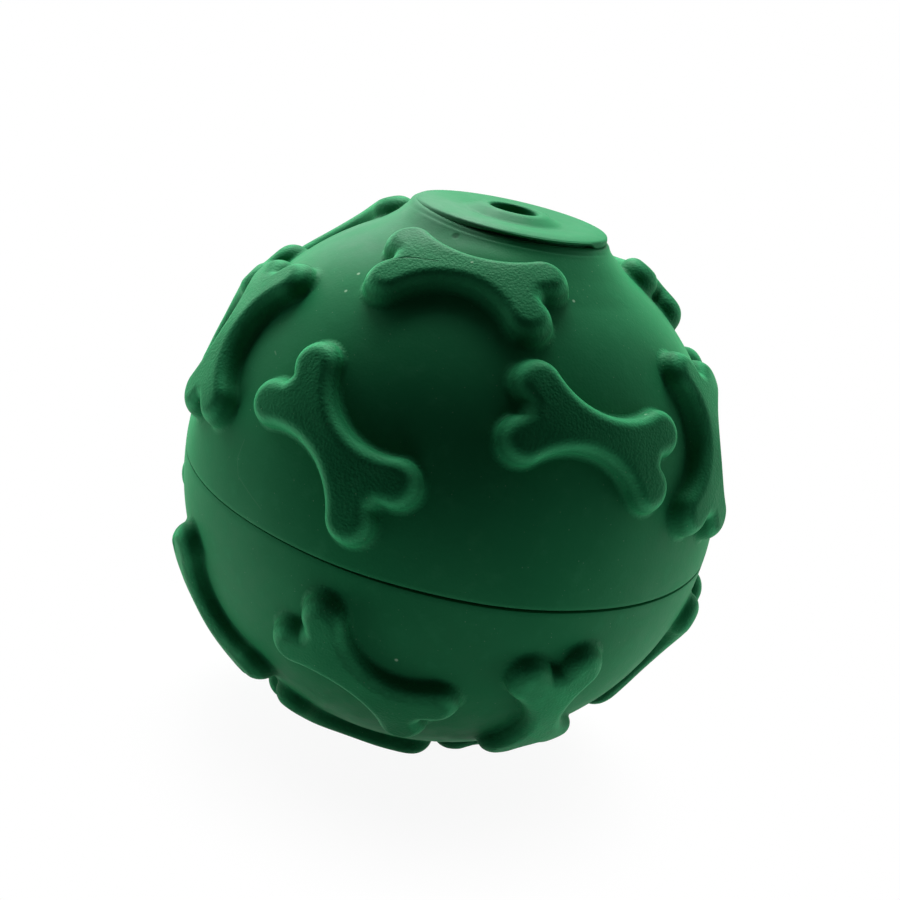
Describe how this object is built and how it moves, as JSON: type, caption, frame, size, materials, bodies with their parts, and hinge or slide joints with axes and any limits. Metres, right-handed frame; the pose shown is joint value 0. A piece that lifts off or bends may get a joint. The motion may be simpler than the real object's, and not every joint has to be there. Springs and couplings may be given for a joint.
{
  "type": "treat dispensing ball",
  "caption": "Hollow rubber pet ball with raised bones that pulls apart at a seam to be filled and drops treats through a small hole in its mouth plug.",
  "frame": {"origin": "centre of the bare ball, on the axis of the mouth; the seam lies just below it", "axes": "+Z along the mouth axis, out through the treat hole; -Y towards the side that shows most in the picture"},
  "size_m": [0.0796, 0.0792, 0.0789],
  "materials": {
    "green_rubber": "satin",
    "collar_plastic": "matte"
  },
  "bodies": {
    "lower_half": {"lower_shell": "green_rubber", "lower_collar": "collar_plastic"},
    "upper_half": {"upper_shell": "green_rubber", "upper_collar": "collar_plastic"},
    "plug": {"mouth_plug": "green_rubber"}
  },
  "joints": [
    {"name": "halves_pull_apart", "type": "slide", "parent": "lower_half", "child": "upper_half", "axis": [0, 0, 1], "range_m": [0, 0.04]},
    {"name": "plug_pull_out", "type": "slide", "parent": "upper_half", "child": "plug", "axis": [0, 0, 1], "range_m": [0, 0.02]}
  ]
}
